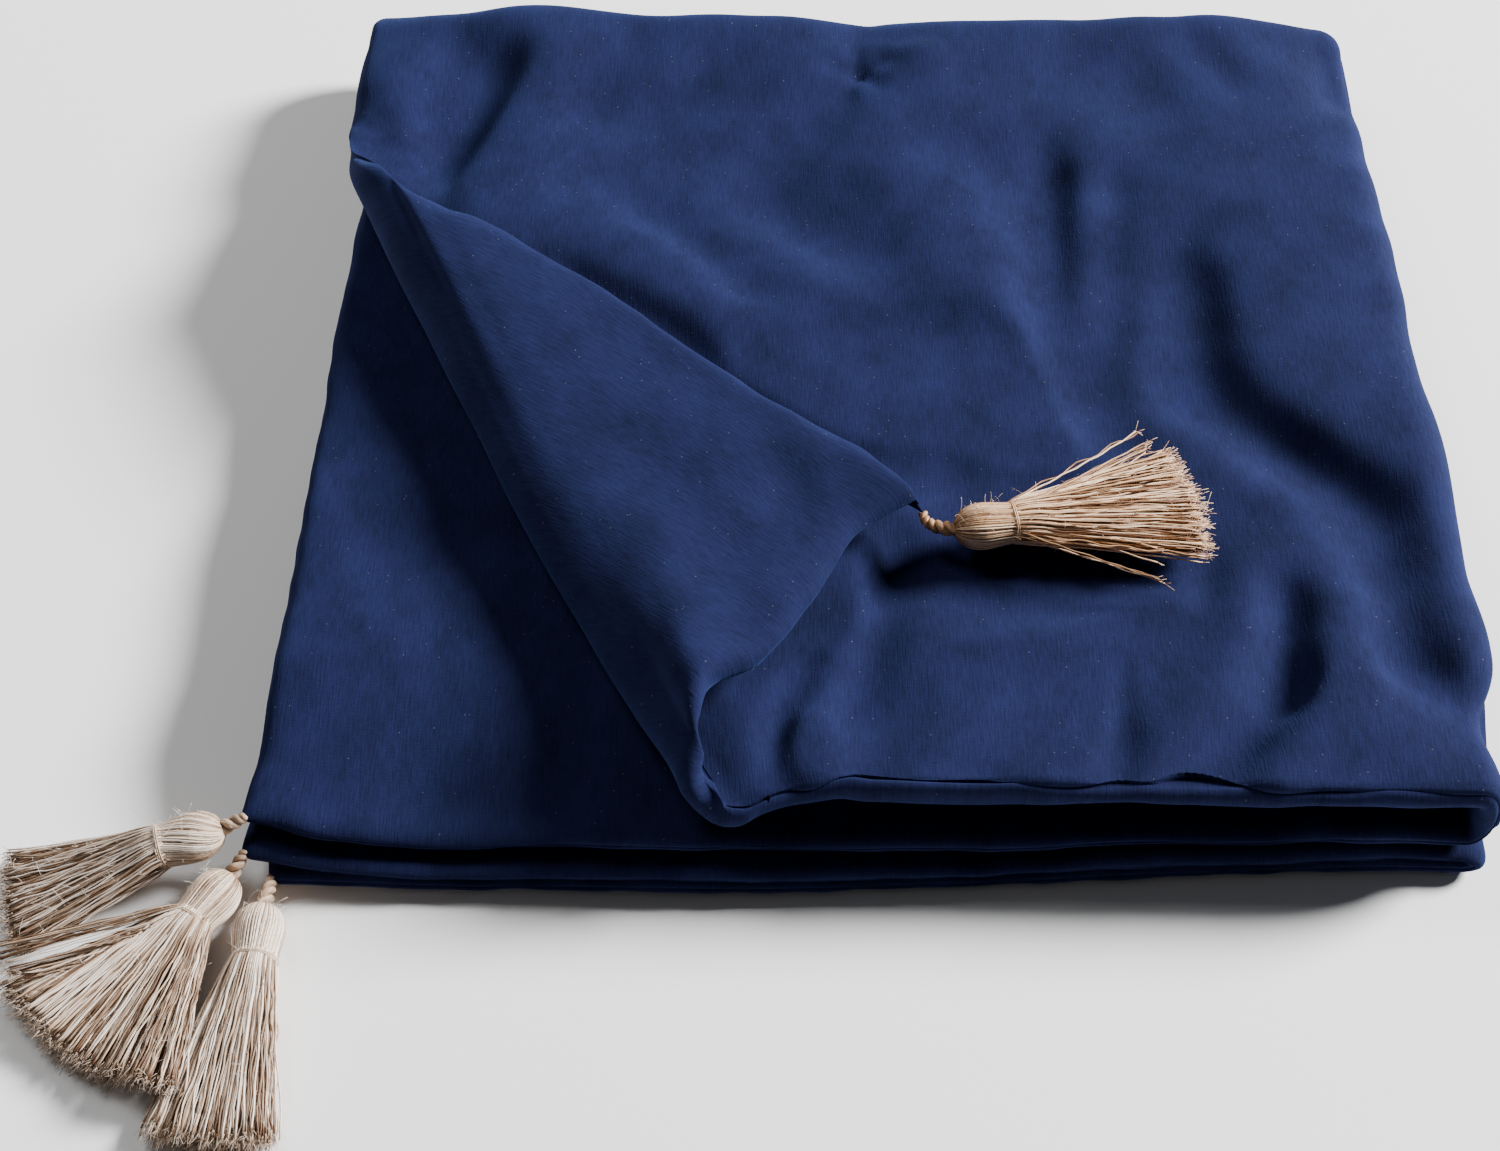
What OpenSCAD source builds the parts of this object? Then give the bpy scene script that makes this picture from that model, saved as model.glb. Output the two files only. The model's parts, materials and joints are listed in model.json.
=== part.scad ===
// A padded floor mat, folded in four, with its top corner turned back and a jute tassel on each corner.
// The folds are along the right side and the back, so the open hems are at the left and the front.
// The origin is the middle of the folded mat's underside; +Y points to the back fold, +Z up.

/* [Folded mat] */
// Width and depth of the folded mat (a quarter of the open mat)
side = 600; // [450:10:800]
// Thickness of one padded layer
layer_t = 15; // [12:1:24]
// Thickness of the outer fabric
fabric_t = 1; // [0.6:0.2:1.6]
// Air between two layers that lie on each other
layer_gap = 0.5; // [0.4:0.1:1.5]
// How far the lower two layers reach past the upper two at the front
front_step = 14; // [4:1:20]

/* [Turned-back corner] */
// Distance from the corner to the crease along the left hem
turn_left = 410; // [300:5:440]
// Distance from the corner to the crease along the front hem
turn_front = 205; // [160:5:300]
// Air between the turned-back corner and the layer it lies on
flap_gap = 3; // [2:0.5:6]

/* [Tack stitches] */
// Distance from a tack stitch to the back fold
tack_inset = 57; // [45:1:120]
// Diameter of the knotted thread
tack_d = 2; // [1.5:0.5:4]

/* [Tassels] */
// Diameter of the cord that holds a tassel
cord_d = 5; // [3:0.5:7]
// Diameter of the tassel's head
head_d = 26; // [18:1:34]
// Length of the tassel's head, from the cord to the binding
head_l = 30; // [22:1:40]
// Width of the thread that binds the neck
binding_w = 3; // [2:0.5:8]
// Diameter of the bound neck
neck_d = 20; // [14:1:24]

/* [Hidden] */
$fn = 48;
EXACT_FN = 64;     // more sides than a plain polygon, so that arcs stay round
HULL_FN = 32;
clear = 0.3;       // air between two bodies that move against each other
slack = 0.05;      // air between the fabric and the wadding inside it
far = 2 * side;    // longer than the mat, for cutting

half = side / 2;
pitch = layer_t + layer_gap;             // from one layer to the next
pair_t = layer_t + pitch;                // two layers lying on each other
stack_t = pair_t + layer_gap + pair_t;   // all four layers
fold_z = stack_t / 2;                    // height of the back fold's hinge line
fold_y = half - fold_z;                  // where the flat layers end and the back fold begins
turn_r = pair_t / 2;                     // outer radius of the fold between two layers
turn_x = half - turn_r;                  // where the flat layers end and the right fold begins
front_y = -half;                         // front hem of the upper two layers
tack_y = half - tack_inset;

// The crease of the turned-back corner, seen from above
crease_len = norm([turn_left, turn_front]);
crease_dir = [turn_front, -turn_left] / crease_len;  // along the crease, towards the front
crease_in = [turn_left, turn_front] / crease_len;    // across it, away from the corner
corner = [-half, front_y];
roll_r = layer_t + flap_gap / 2;         // outer radius of the roll at the crease
roll_mid_r = (layer_t + flap_gap) / 2;
half_arc = PI * roll_mid_r / 2;          // fabric taken up by half of the roll
corner_h = turn_left * turn_front / crease_len;      // from the corner to the crease
hinge_h = corner_h + half_arc;           // from the corner to the roll's own axis
hinge_z = stack_t + flap_gap / 2;
hinge_mid = corner + crease_in * hinge_h;            // a point on the axis
crease_yaw = atan2(crease_dir[1], crease_dir[0]);

// The four corners, at the middle of the layer that each tassel hangs from
turned_corner = [corner[0] + 2 * corner_h * crease_in[0], corner[1] + 2 * corner_h * crease_in[1],
                 stack_t + flap_gap + layer_t / 2];
top_corner = [-half, front_y, pair_t + layer_gap + layer_t / 2];
middle_corner = [-half, front_y - front_step, pitch + layer_t / 2];
bottom_corner = [-half, front_y - front_step, layer_t / 2];
lying_z = head_d / 2 + clear;            // middle of a head that lies on a surface
knot_gap = 4;                            // room for a head to turn round its cord's end

// Each tassel: name, cord's root, where its head begins, heading, drop, skirt length, skirt end size
TASSELS = [
    ["turned", turned_corner + [2, -1, 0],
     [turned_corner[0] + 17, turned_corner[1] - 4, stack_t + lying_z], 10, 0, 104, [76, 14]],
    ["top", top_corner + [-3.5, 2, -4.5], top_corner + [-12, -1, -8.5], 197, 7, 86, [36, 12]],
    ["middle", middle_corner + [-3.3, 4, -3],
     [middle_corner[0] - 8.5, middle_corner[1] - 3, lying_z], 241, 0, 100, [56, 14]],
    ["bottom", bottom_corner + [10, -3.5, 2],
     [bottom_corner[0] + 9, bottom_corner[1] - 20, lying_z], 271, 0, 100, [34, 14]],
];

MAT_NODES = [
    "lower_face_panel", "lower_backing_panel", "lower_wadding", "lower_tack_stitches",
    "upper_face_panel", "upper_backing_panel", "upper_wadding", "upper_tack_stitches",
    "flap_face_panel", "flap_backing_panel", "flap_wadding",
    "back_fold_outer_roll", "back_fold_inner_roll", "corner_crease_roll",
];

// ---------- the padded layers ----------

// One layer's outline, rounded at its open hem, from hem to end; z is its underside
module layer_outline(hem, end, z, inset) {
    r = layer_t / 2;
    translate([hem + r, z + inset]) square([end - hem - r, layer_t - 2 * inset]);
    translate([hem + r, z + r]) circle(r - inset, $fn = EXACT_FN);
}

// The right-hand half of a ring
module half_ring(inner, outer) {
    intersection() {
        difference() {
            circle(outer, $fn = EXACT_FN);
            circle(inner, $fn = EXACT_FN);
        }
        translate([0, -outer]) square([outer, 2 * outer]);
    }
}

// One flat layer with rounded hems at the left and the front
module layer(z, front, inset) {
    intersection() {
        translate([0, fold_y, 0]) rotate([90, 0, 0]) linear_extrude(far)
            layer_outline(-half, turn_x, z, inset);
        rotate([90, 0, 90]) linear_extrude(far, center = true) layer_outline(front, fold_y, z, inset);
    }
}

// The fold that joins two layers at the right
module right_fold(z, front, inset) {
    translate([turn_x, fold_y, z + turn_r]) rotate([90, 0, 0]) linear_extrude(fold_y - front - inset)
        half_ring(layer_gap / 2 + inset, turn_r - inset);
}

// Two folded layers whose surfaces lie inset below the fabric's outside
module pair(z, front, inset) {
    layer(z, front, inset);
    layer(z + pitch, front, inset);
    right_fold(z, front, inset);
}

// Everything between the middles of a pair's two layers: there the fabric is the backing
module inside_of_pair(z) {
    r = pitch / 2;
    translate([-far, -far, z + layer_t / 2]) cube([far + turn_x, 2 * far, pitch]);
    translate([turn_x, -far, z + turn_r]) rotate([-90, 0, 0]) cylinder(r = r, h = 2 * far, $fn = EXACT_FN);
}

module tack_holes(z) {
    translate([0, tack_y, z - 1]) cylinder(d = tack_d + 2 * clear, h = pair_t + 2, $fn = 8);
}

module face_panel(z, front) {
    difference() {
        pair(z, front, 0);
        pair(z, front, fabric_t);
        inside_of_pair(z);
        tack_holes(z);
    }
}

module backing_panel(z, front) {
    difference() {
        intersection() {
            pair(z, front, 0);
            inside_of_pair(z);
        }
        pair(z, front, fabric_t);
        tack_holes(z);
    }
}

module wadding(z, front) {
    difference() {
        pair(z, front, fabric_t + slack);
        tack_holes(z);
    }
}

// Threads knotted through both layers of a pair
module tack_stitches(z) {
    for (k = [0, 1])
        translate([0, tack_y, z + k * pitch]) cylinder(d = tack_d, h = layer_t, $fn = 8);
}

// ---------- the turned-back corner ----------

// All of the top layer that lies on the corner's side of the crease, from distance h off the corner
module corner_side(h) {
    at = corner + crease_in * h;
    translate([at[0], at[1], stack_t - layer_t - layer_gap / 2])
        rotate(crease_yaw) translate([-far, -far, 0]) cube([2 * far, far, far]);
}

// The top layer's corner as it lies when flat, out to its hems
module flat_corner(inset) {
    intersection() {
        layer(stack_t - layer_t, front_y, inset);
        corner_side(corner_h - half_arc);
    }
}

// Moves the flat corner to the crease's axis and turns it over onto the mat
module turned_back() {
    pivot = [hinge_mid[0], hinge_mid[1], hinge_z];
    shift = crease_in * 2 * half_arc;
    translate(pivot) rotate(180, v = [crease_dir[0], crease_dir[1], 0]) translate(-pivot)
        translate([shift[0], shift[1], 0]) children();
}

module below_middle_of_top_layer() {
    translate([-far, -far, 0]) cube([2 * far, 2 * far, stack_t - layer_t / 2]);
}

module flap_shell() {
    difference() {
        flat_corner(0);
        flat_corner(fabric_t);
    }
}

// ---------- rolls of fabric and wadding at the folds ----------

module back_fold_roll(inner, outer, right) {
    translate([-half, fold_y, fold_z]) rotate([90, 0, 90])
        linear_extrude(half + right) half_ring(inner, outer);
}

module crease_roll() {
    intersection() {
        translate([hinge_mid[0], hinge_mid[1], hinge_z])
            rotate(crease_yaw) rotate([90, 0, 90]) linear_extrude(far, center = true)
                mirror([1, 0]) half_ring(flap_gap / 2, roll_r);
        translate([-half, front_y, 0]) cube([side, side, far]);
    }
}

// ---------- tassels ----------

// Places a tassel so that its head begins at the origin's image and points along its heading
module at_tassel(t) {
    translate(t[2]) rotate([0, t[4], t[3]]) children();
}

module tassel_cord(t) {
    run = t[2] - t[1];
    length = norm(run) - clear;
    color("tan") translate(t[1]) rotate([0, acos(run[2] / norm(run)), atan2(run[1], run[0])])
        cylinder(d = cord_d, h = length, $fn = EXACT_FN);
}

// The wound yarn head, a bulb that narrows to the neck
module tassel_head(t) {
    r = head_d / 2;
    middle = knot_gap + r;
    color("burlywood") at_tassel(t) rotate([0, 90, 0]) rotate_extrude($fn = EXACT_FN)
        intersection() {
            union() {
                translate([0, middle]) circle(r, $fn = EXACT_FN);
                translate([0, middle]) square([neck_d / 2, head_l - middle]);
            }
            square([r, head_l]);
        }
}

module tassel_binding(t) {
    color("peru") at_tassel(t) translate([head_l, 0, 0]) rotate([0, 90, 0])
        cylinder(d = neck_d + 2, h = binding_w, $fn = EXACT_FN);
}

// The loose yarns as one spreading bundle
module tassel_skirt(t) {
    end = t[6];
    start_x = head_l + binding_w;
    color("burlywood") at_tassel(t) hull() {
        translate([start_x, 0, 0]) rotate([0, 90, 0]) cylinder(d = neck_d, h = 1, $fn = HULL_FN);
        translate([start_x + t[5] - end[1] / 2, 0, end[1] / 2 - head_d / 2])
            for (side_y = [-1, 1]) translate([0, side_y * (end[0] - end[1]) / 2, 0])
                sphere(d = end[1], $fn = HULL_FN);
    }
}

// ---------- the pieces ----------

module lower_face_panel() { color("navy") face_panel(0, front_y - front_step); }

module lower_backing_panel() { color("midnightblue") backing_panel(0, front_y - front_step); }

module lower_wadding() { color("white") wadding(0, front_y - front_step); }

module lower_tack_stitches() { color("darkblue") tack_stitches(0); }

module upper_face_panel() {
    color("navy") difference() {
        face_panel(pair_t + layer_gap, front_y);
        corner_side(hinge_h);
    }
}

module upper_backing_panel() {
    color("midnightblue") difference() {
        backing_panel(pair_t + layer_gap, front_y);
        corner_side(hinge_h);
    }
}

module upper_wadding() {
    color("white") difference() {
        wadding(pair_t + layer_gap, front_y);
        corner_side(hinge_h);
    }
}

module upper_tack_stitches() { color("darkblue") tack_stitches(pair_t + layer_gap); }

module flap_face_panel() {
    color("navy") turned_back() difference() {
        flap_shell();
        below_middle_of_top_layer();
    }
}

module flap_backing_panel() {
    color("midnightblue") turned_back() intersection() {
        flap_shell();
        below_middle_of_top_layer();
    }
}

module flap_wadding() { color("white") turned_back() flat_corner(fabric_t + slack); }

module back_fold_outer_roll() {
    color("navy") back_fold_roll(pair_t - layer_t + layer_gap / 2, fold_z, half - 8);
}

module back_fold_inner_roll() {
    color("midnightblue") back_fold_roll(layer_gap / 2, layer_t + layer_gap / 2, turn_x);
}

module corner_crease_roll() { color("midnightblue") crease_roll(); }

lower_face_panel();
lower_backing_panel();
lower_wadding();
lower_tack_stitches();
upper_face_panel();
upper_backing_panel();
upper_wadding();
upper_tack_stitches();
flap_face_panel();
flap_backing_panel();
flap_wadding();
back_fold_outer_roll();
back_fold_inner_roll();
corner_crease_roll();
for (t = TASSELS) {
    tassel_cord(t);
    tassel_head(t);
    tassel_binding(t);
    tassel_skirt(t);
}
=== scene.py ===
import json
import math

import bmesh
import bpy
import numpy as np
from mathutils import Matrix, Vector


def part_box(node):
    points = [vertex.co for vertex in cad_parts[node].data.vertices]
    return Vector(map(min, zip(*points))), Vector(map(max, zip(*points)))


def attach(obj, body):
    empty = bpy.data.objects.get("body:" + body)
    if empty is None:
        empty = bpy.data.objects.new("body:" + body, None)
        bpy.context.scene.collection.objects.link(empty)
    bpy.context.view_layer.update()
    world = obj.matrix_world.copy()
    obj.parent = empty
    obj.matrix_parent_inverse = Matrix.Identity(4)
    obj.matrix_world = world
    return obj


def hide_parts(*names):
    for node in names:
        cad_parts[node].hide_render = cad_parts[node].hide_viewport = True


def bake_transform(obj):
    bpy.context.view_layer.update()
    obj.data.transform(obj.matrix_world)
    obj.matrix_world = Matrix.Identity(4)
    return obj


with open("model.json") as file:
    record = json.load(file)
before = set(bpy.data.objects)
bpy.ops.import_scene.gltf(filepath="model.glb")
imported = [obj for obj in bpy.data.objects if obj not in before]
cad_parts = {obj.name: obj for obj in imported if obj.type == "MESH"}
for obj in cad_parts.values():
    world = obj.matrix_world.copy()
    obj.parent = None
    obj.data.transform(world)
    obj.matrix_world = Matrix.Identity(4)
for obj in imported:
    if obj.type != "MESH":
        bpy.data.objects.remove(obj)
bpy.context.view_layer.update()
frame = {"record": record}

JOINTS = {j["name"]: j for j in frame["record"]["behaviour"]["joints"]}

# ---------- the folded mat's sizes, in metres, from the CAD frame ----------

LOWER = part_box("lower_face_panel")
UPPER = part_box("upper_face_panel")
LEFT, RIGHT = UPPER[0].x, UPPER[1].x
FRONT, LOWER_FRONT = UPPER[0].y, LOWER[0].y
GAP = UPPER[0].z - LOWER[1].z     # air between two layers
PAIR_T = UPPER[1].z - UPPER[0].z  # two layers lying on each other
LAYER_T = (PAIR_T - GAP) / 2
TURN_X = RIGHT - PAIR_T / 2       # where the fold at the right begins
TURN_R = (LAYER_T + GAP) / 2      # from that fold's axis to the middle of a layer
FOLD_Y, FOLD_Z = JOINTS["back_fold"]["pos_m"][1:]
STACK = UPPER[1].z
TOP_MIDDLE = STACK - LAYER_T / 2  # height of the middle of the top layer

# The cloth's own coordinates: u runs from the left hem round the right fold and back, v from the
# front hem over the back fold and down to the lower front hem.
EDGE_R = 0.009    # how far the rounded edge reaches in from a hem
EDGE_ARC = 0.014  # fabric taken up by that rounded edge
TURN_ARC = 0.040  # fabric taken up by the right fold
BACK_ARC = 0.060  # and by the back fold
FLAT_U = TURN_X - LEFT - EDGE_R + EDGE_ARC
FLAT_V = FOLD_Y - FRONT - EDGE_R + EDGE_ARC
U_END = 2 * FLAT_U + TURN_ARC
V_END = FLAT_V + BACK_ARC + FOLD_Y - LOWER_FRONT - EDGE_R + EDGE_ARC
SEAM_GROOVE, GROOVE_W = 0.16, 0.0013  # how deep the seam sits in the edge, and how wide it is
BACK_ROOM = 0.0035                    # the small hollow inside the back fold

# How each layer, from the top down, sits at the front
FRONT_REACH = 0.10                                # how far in from the hem it differs from the flat stack
FRONT_THIN = (0.08, 0.38, 0.36, 0.36)             # how much thinner it is there
FRONT_RISE = (0.0035, -0.0100, -0.0075, -0.0015)  # how far it lies above its place
FRONT_INSET = (0.004, -0.008, -0.004, -0.004)     # how far its hem lies in from the mat's
FRONT_SKEW = (0.0, 0.012, 0.020, 0.020)           # and how much farther in on the right
FRONT_SEAM = (math.radians(62), 0.0, -0.2, -0.2)  # how far its seam rolls onto its upper side

# The turned-back corner: fabric leaves the flat at ROLL_START from the corner, measured across the crease
CREASE = Vector(JOINTS["corner_fold"]["axis"])  # along the crease, towards the front
INWARD = Vector((-CREASE.y, CREASE.x, 0))       # across it, away from the corner
HINGE = Vector(JOINTS["corner_fold"]["pos_m"])
CORNER = Vector((LEFT, FRONT, 0))
ROLL_START = (HINGE - CORNER).dot(INWARD) + 0.004
ROLL_TIGHT = 0.022               # fabric in the tight turn at the bottom of the roll
ROLL_CREST = 0.076               # from the roll's start to its crest
ROLL_REST = 0.165                # and to where the corner lies flat on the mat
PRE_ROLL = 0.022                 # the roll's piece begins this far before the roll
FLAP_START = 0.062               # and ends this far past the roll's start
ROLL_BEND = 0.040                # the part of it that bends most when the corner opens
TIGHT_SLOPE = math.radians(150)  # the slope after the tight turn,
CREST_SLOPE = math.radians(37)   # what the way to the crest adds to it,
REST_SLOPE = math.radians(7)     # and what it loses where the corner lies flat


def smooth(x, low=0.0, high=1.0):
    """0 below low, 1 above high, and an even S-curve between them."""
    t = np.clip((x - low) / (high - low), 0, 1)
    return t * t * (3 - 2 * t)


def bell(x, width):
    """1 at 0, fading to nothing past width."""
    return np.exp(-(x / width) ** 2)


def unit(vectors):
    """The vectors, each with the length 1."""
    return vectors / np.linalg.norm(vectors, axis=-1, keepdims=True)


def waves(x, y, size, seed):
    """Soft random undulation, mostly between -1 and 1; size is the usual distance between crests."""
    count, rng = 14, np.random.default_rng(seed)
    total = np.zeros_like(x)
    for _ in range(count):
        angle, phase = rng.uniform(0, math.tau, 2)
        pace = math.tau / (size * rng.uniform(0.6, 1.7))
        total += np.sin(pace * (x * math.cos(angle) + y * math.sin(angle)) + phase)
    return total / math.sqrt(count)


def from_corner(u, v):
    """How far the cloth's point (u, v) lies from the turned-back corner, across the crease."""
    return u * INWARD.x + v * INWARD.y


def link(name, data):
    """A new object in the scene that shows a mesh, a light or a camera."""
    obj = bpy.data.objects.new(name, data)
    bpy.context.scene.collection.objects.link(obj)
    return obj


# ---------- the mat's flat cloth mesh ----------

HEM_LINES = np.array([0, 0.0005, 0.0012, 0.0021, 0.0032, 0.0048, 0.0066, 0.0088, 0.0112])
ACROSS_STEPS = (0.0037, 0.0022, 0.0055)  # spacing before, round and after the right fold
ALONG_STEPS = (0.0037, 0.0023, 0.0062)   # and before, round and after the back fold
ROLL_STEPS = (0.0028, 0.0011, 0.0027)    # before the roll, where it bends most, and after that


def spaced(start, end, step):
    """Evenly spaced values about a step apart, without the end itself."""
    return np.linspace(start, end, max(2, round((end - start) / step) + 1))[:-1]


def cloth_lines(flat, bend, end, steps):
    """Mesh lines from one hem over a fold to the other hem, closest together at the hems."""
    return np.concatenate([
        HEM_LINES, spaced(EDGE_ARC, flat, steps[0]), spaced(flat, flat + bend, steps[1]),
        spaced(flat + bend, end - EDGE_ARC, steps[2]), [end - EDGE_ARC], (end - HEM_LINES)[::-1]])


def roll_lines():
    """Arc lengths of the extra mesh lines along the crease."""
    before, tight, after = ROLL_STEPS
    return [*np.arange(-PRE_ROLL, 0, before), *np.arange(0, ROLL_BEND, tight),
            *np.arange(ROLL_BEND, FLAP_START, after)]


def flat_cloth():
    """The cloth as a flat mesh in (u, v), with extra lines along the crease so that it bends evenly."""
    us = cloth_lines(FLAT_U, TURN_ARC, U_END, ACROSS_STEPS)
    vs = cloth_lines(FLAT_V, BACK_ARC, V_END, ALONG_STEPS)
    bm = bmesh.new()
    rows = [[bm.verts.new((u, v, 0)) for u in us] for v in vs]
    for low, high in zip(rows, rows[1:]):
        for i in range(len(us) - 1):
            bm.faces.new((low[i], low[i + 1], high[i + 1], high[i]))
    for arc in roll_lines():  # each line cuts only the faces close to it
        distance = ROLL_START - arc
        near = [f for f in bm.faces if abs(f.calc_center_median().dot(INWARD) - distance) < 0.012
                and f.calc_center_median().y < FLAT_V]
        geometry = list({e for f in near for e in f.edges}) + near
        bmesh.ops.bisect_plane(bm, geom=geometry, dist=1e-5, plane_co=INWARD * distance, plane_no=INWARD)
    bm.verts.index_update()
    uv = np.array([v.co[:2] for v in bm.verts])
    faces = [[v.index for v in f.verts] for f in bm.faces]
    bm.free()
    return uv, faces


# ---------- folding the cloth ----------

def hem_profile(arc, side, turn):
    """Rounds an edge: how far a point lies in from the edge, and its share of the half thickness."""
    angle = turn + (side * math.pi / 2 - turn) * np.clip(arc / EDGE_ARC, 0, 1)
    groove = 1 - SEAM_GROOVE * bell(arc, GROOVE_W)
    reach = EDGE_R * (1 - groove * np.cos(angle)) + np.maximum(arc - EDGE_ARC, 0)
    return reach, groove * np.sin(angle)


def roll_path():
    """The roll at the crease as a curve: arc length, distance from the corner, height, slope angle."""
    arc = np.linspace(0, 0.5, 2001)
    t = np.clip(arc / ROLL_TIGHT, 0, 1)
    rise_start = 0.9 * ROLL_TIGHT
    rise = np.clip((arc - rise_start) / (ROLL_CREST - rise_start), 0, 1)
    angle = TIGHT_SLOPE * (0.5 * t + 0.5 * smooth(t)) + CREST_SLOPE * (1 - (1 - rise) ** 1.7)
    angle -= REST_SLOPE * smooth(arc, ROLL_REST - 0.03, ROLL_REST)
    step = arc[1] - arc[0]
    between = (angle[1:] + angle[:-1]) / 2
    distance = ROLL_START - np.concatenate([[0], np.cumsum(np.cos(between))]) * step
    height = TOP_MIDDLE + np.concatenate([[0], np.cumsum(np.sin(between))]) * step
    return arc, distance, height, angle


def turned_back(points, distance, on_top):
    """Takes the top layer's corner over the roll and back onto the mat."""
    arc, reach, height, slope = roll_path()
    along = ROLL_START - distance[on_top]
    tilt = np.interp(along, arc, slope)
    lift = points[on_top, 2] - TOP_MIDDLE
    move = np.interp(along, arc, reach) + lift * np.sin(tilt) - distance[on_top]
    points[on_top, 0] += move * INWARD.x
    points[on_top, 1] += move * INWARD.y
    points[on_top, 2] = np.interp(along, arc, height) + lift * np.cos(tilt)


def of_layer(values, upper, inner):
    """Each point's value, from those of the four layers; it changes evenly round the right fold."""
    first, second, third, fourth = values
    return np.where(upper, first + (second - first) * inner, fourth + (third - fourth) * inner)


def half_thickness(u, v, side, upper, inner):
    """Half of the layer's thickness: thin near the front, and a little uneven."""
    hem_u, near_front = np.minimum(u, U_END - u), 1 - smooth(np.minimum(v, V_END - v), 0, FRONT_REACH)
    half = LAYER_T / 2 * (1 - near_front * of_layer(FRONT_THIN, upper, inner))
    half *= 1 + 0.10 * waves(u, v, 0.12, 3) * smooth(hem_u, 0, 0.04)
    if side < 0:  # the lower panel bulges under the top layer's seam
        half *= 1 + 0.32 * near_front * upper * (1 - inner) * (0.4 + waves(u, v, 0.075, 5))
    return half


def fold(u, v, side):
    """Where the cloth's point (u, v) lies in the folded mat, on its face (side 1) or its backing (-1)."""
    hem_u, hem_v = np.minimum(u, U_END - u), np.minimum(v, V_END - v)
    turn = np.clip((u - FLAT_U) / TURN_ARC, 0, 1) * math.pi
    back = np.clip((v - FLAT_V) / BACK_ARC, 0, 1) * math.pi
    inner = (1 - np.cos(turn)) / 2  # 0 on the outer layers, 1 on the inner ones
    upper = v < FLAT_V + BACK_ARC / 2
    near_front = 1 - smooth(hem_v, 0, FRONT_REACH)
    reach_u, lift_u = hem_profile(hem_u, 1, 0.0)
    reach_v, lift_v = hem_profile(hem_v, side, of_layer(FRONT_SEAM, upper, inner))

    # Across: flat, then round the right fold
    radius = TURN_R + half_thickness(u, v, side, upper, inner) * lift_u * lift_v
    x = np.where((turn > 0) & (turn < math.pi), TURN_X + radius * np.sin(turn), LEFT + reach_u)
    height = (PAIR_T + GAP) / 2 + radius * np.cos(turn)

    # Along: flat, then over the back fold
    inset = of_layer(FRONT_INSET, upper, inner) * near_front
    inset += of_layer(FRONT_SKEW, upper, inner) * near_front * smooth(x, -0.1, RIGHT)
    flat_y = np.where(upper, FRONT, LOWER_FRONT) + reach_v + inset
    bent = (back > 0) & (back < math.pi)
    room = BACK_ROOM * np.where(bent, 1, smooth(flat_y, FOLD_Y - 0.05, FOLD_Y))
    height = height + room * (1 - height / FOLD_Z)
    y = np.where(bent, FOLD_Y + height * np.sin(back), flat_y)
    z = FOLD_Z + height * np.cos(back) + near_front * of_layer(FRONT_RISE, upper, inner)

    points = np.stack([x, y, z], 1)
    distance = from_corner(x - LEFT, y - FRONT)
    turned_back(points, distance, (turn == 0) & (back == 0) & (distance < ROLL_START))
    return points


def hem_distance(u, v):
    """How far the cloth's point (u, v) lies from the nearest hem."""
    return np.minimum(np.minimum(u, U_END - u), np.minimum(v, V_END - v))


def shell(uv, faces):
    """Both sides of the folded cloth as one closed skin: points, polygons, and each point's twin."""
    count = len(uv)
    on_hem = hem_distance(*uv.T) < 1e-6
    twin = np.where(on_hem, np.arange(count), np.arange(count) + count)
    points = np.concatenate([fold(*uv.T, 1), fold(*uv.T, -1)])
    polygons = faces + [[int(twin[i]) for i in reversed(f)] for f in faces]
    return points, polygons, twin


def vertex_normals(points, polygons):
    """Smooth normals of the whole skin."""
    mesh = bpy.data.meshes.new("normals")
    mesh.from_pydata(points.tolist(), [], polygons)
    normals = np.zeros(len(points) * 3, np.float32)
    mesh.vertex_normals.foreach_get("vector", normals)
    bpy.data.meshes.remove(mesh)
    return normals.reshape(-1, 3).astype(float)


# ---------- wrinkles ----------

def crest(x, y, start, end, width):
    """A soft ridge of height 1 along the line from start to end, fading at both ends."""
    ax, ay = start
    dx, dy = end[0] - ax, end[1] - ay
    length = math.hypot(dx, dy)
    along = ((x - ax) * dx + (y - ay) * dy) / length
    across = ((x - ax) * dy - (y - ay) * dx) / length
    over = np.maximum(np.maximum(-along, along - length), 0)
    return np.exp(-(across / width) ** 2 - (over / (1.5 * width)) ** 2)


SIM_STEP = 0.0065                                # spacing of the simulated sheet's grid
SIM_FRAMES = 20
SIM_GROWTH = 0.008                               # how much the sheet grows while its edges are held
SIM_SHARE = 0.95                                 # how much of the simulated sheet's height is kept
PLACED_SHARE = 0.60                              # and how much of the placed folds' own height is added
DEEPEST, HIGHEST = 0.0095, 0.0085                # limits of the valleys and the ridges
TIP = (0.030, -0.128, 0.074)                     # where the turned-back corner's tip lies
SWEEP = 0.145                                    # how far from it the lying tassel can reach,
LOW_RIDGE = 0.0009                               # and how high ridges are there
BED, BED_SIZE = (0.115, -0.120), (0.070, 0.045)  # middle and half size of the calm cloth under it
BED_DEPTH = 0.0015

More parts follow.
